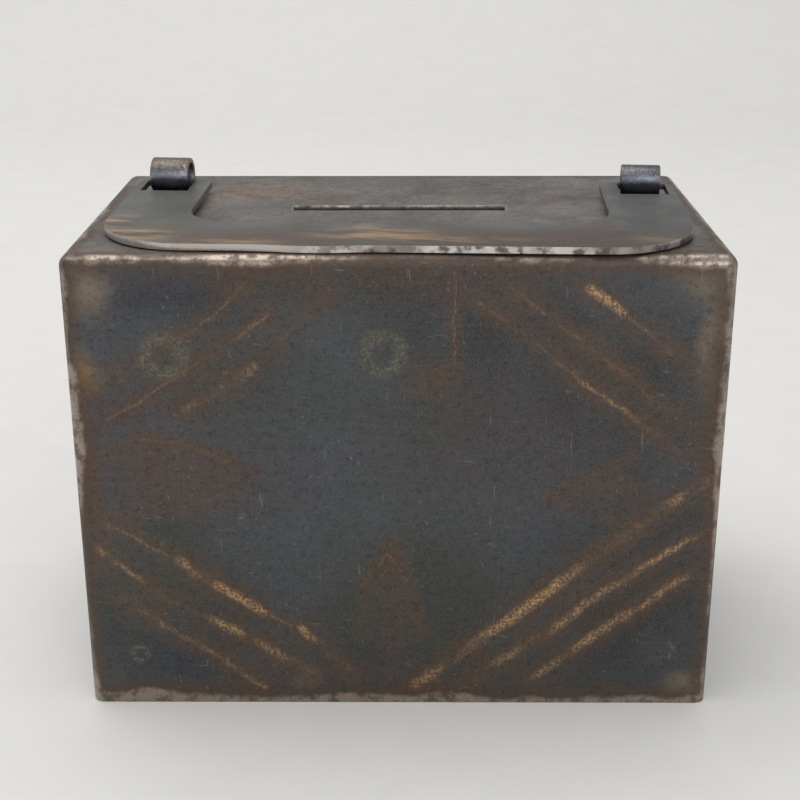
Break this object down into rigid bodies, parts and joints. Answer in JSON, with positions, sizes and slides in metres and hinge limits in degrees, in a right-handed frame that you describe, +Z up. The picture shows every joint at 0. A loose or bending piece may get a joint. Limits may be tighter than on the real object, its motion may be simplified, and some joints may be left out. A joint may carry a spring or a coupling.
{
  "type": "sheet steel money box",
  "caption": "Rectangular sheet steel coin bank with a flat folding carry handle in rolled loops, a top coin slot with an inner guard flap and a locked trap door in the base.",
  "frame": {"origin": "middle of the box's footprint, on the surface it stands on", "axes": "+Z up, +X across the width to the right seen from the front, the front face looks along -Y"},
  "size_m": [0.114, 0.0684, 0.0924],
  "materials": {
    "oxidised_shell": "blackened sheet steel with brown and gold burnished lines, worn bright along its edges",
    "worn_steel": "bare brushed steel plate dulled to grey, edges rubbed bright",
    "heat_tinted_steel": "steel strip with blue and straw heat tint",
    "inside_steel": "plain sheet steel, dull and slightly browned",
    "bright_steel": "turned or drawn steel, slightly dulled",
    "brass": "dull brass"
  },
  "bodies": {
    "box": {"body_shell": "oxidised_shell", "handle_loop_left": "heat_tinted_steel", "handle_loop_right": "heat_tinted_steel", "coin_guard": "inside_steel", "flap_pin": "bright_steel", "flap_spring": "bright_steel", "base_frame": "inside_steel", "frame_hinge_leaf": "inside_steel", "hinge_pin": "bright_steel", "frame_leaf_rivet_1": "bright_steel", "frame_leaf_rivet_2": "bright_steel", "frame_leaf_rivet_3": "bright_steel"},
    "handle": {"carry_handle": "worn_steel"},
    "flap": {"coin_flap": "inside_steel"},
    "door": {"bottom_door": "oxidised_shell", "door_hinge_leaf": "inside_steel", "door_leaf_rivet_1": "bright_steel", "door_leaf_rivet_2": "bright_steel", "door_leaf_rivet_3": "bright_steel", "lock_case": "worn_steel", "lock_rivet_1": "bright_steel", "lock_rivet_2": "bright_steel", "lock_rivet_3": "bright_steel", "lock_rivet_4": "bright_steel", "bolt_guide": "bright_steel", "bolt_spring": "bright_steel", "key_post": "bright_steel", "key_ward": "bright_steel", "keyhole_plate": "brass", "plate_pin_1": "brass", "plate_pin_2": "brass"},
    "bolt": {"lock_bolt": "bright_steel"}
  },
  "joints": [
    {"name": "handle_fold", "type": "hinge", "parent": "box", "child": "handle", "pos_m": [0.001, 0.01465, 0.08745], "axis": [-0.9993, 0.0384, 0], "range_deg": [0, 183]},
    {"name": "flap_swing", "type": "hinge", "parent": "box", "child": "flap", "pos_m": [0, -0.0021, 0.0761], "axis": [-1, 0, 0], "range_deg": [0, 118], "stiffness_Nm_per_rad": 0.002, "springref_deg": -28.65},
    {"name": "door_swing", "type": "hinge", "parent": "box", "child": "door", "pos_m": [0, 0.0306, 0.0015], "axis": [1, 0, 0], "range_deg": [0, 105]},
    {"name": "bolt_slide", "type": "slide", "parent": "door", "child": "bolt", "axis": [0, -1, 0], "range_m": [0, 0.0045]}
  ]
}
